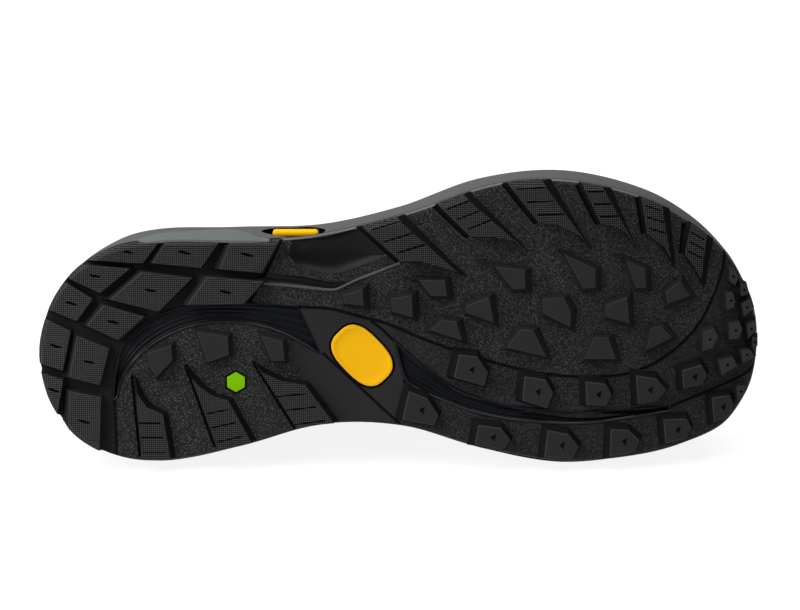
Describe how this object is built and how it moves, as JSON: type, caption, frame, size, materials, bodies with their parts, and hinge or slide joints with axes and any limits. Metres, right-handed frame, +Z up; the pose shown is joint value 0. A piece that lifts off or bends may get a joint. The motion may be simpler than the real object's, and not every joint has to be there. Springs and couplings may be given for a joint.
{
  "type": "trail shoe",
  "caption": "Right trail running shoe lying on its medial side, lugged black outsole with heel blocks, fins and cones, dark blue channels, stepped foam midsole and hollow laced upper",
  "frame": {"origin": "middle of the bounding box at floor level, with the shoe lying on its medial side", "axes": "+X from heel to toe, -Y the way the outsole faces, +Z up from the floor"},
  "size_m": [0.2986, 0.1282, 0.1212],
  "materials": {
    "outsole_rubber": "satin moulded rubber",
    "midsole_foam": "matte moulded foam",
    "channel_blue": "satin dark blue",
    "amber_inset": "satin amber yellow",
    "green_dot": "satin green",
    "upper_fabric": "black woven mesh",
    "lining_fabric": "dark padded lining",
    "lace_cord": "black braided cord"
  },
  "bodies": {
    "root": {"outsole": "outsole_rubber", "midsole": "midsole_foam", "heel_channel": "channel_blue", "forefoot_channel": "channel_blue", "badge_inlay": "amber_inset", "side_inlay": "amber_inset", "dot_inlay": "green_dot", "upper": "upper_fabric", "tongue": "lining_fabric", "insole": "lining_fabric", "lace": "lace_cord"}
  },
  "joints": []
}
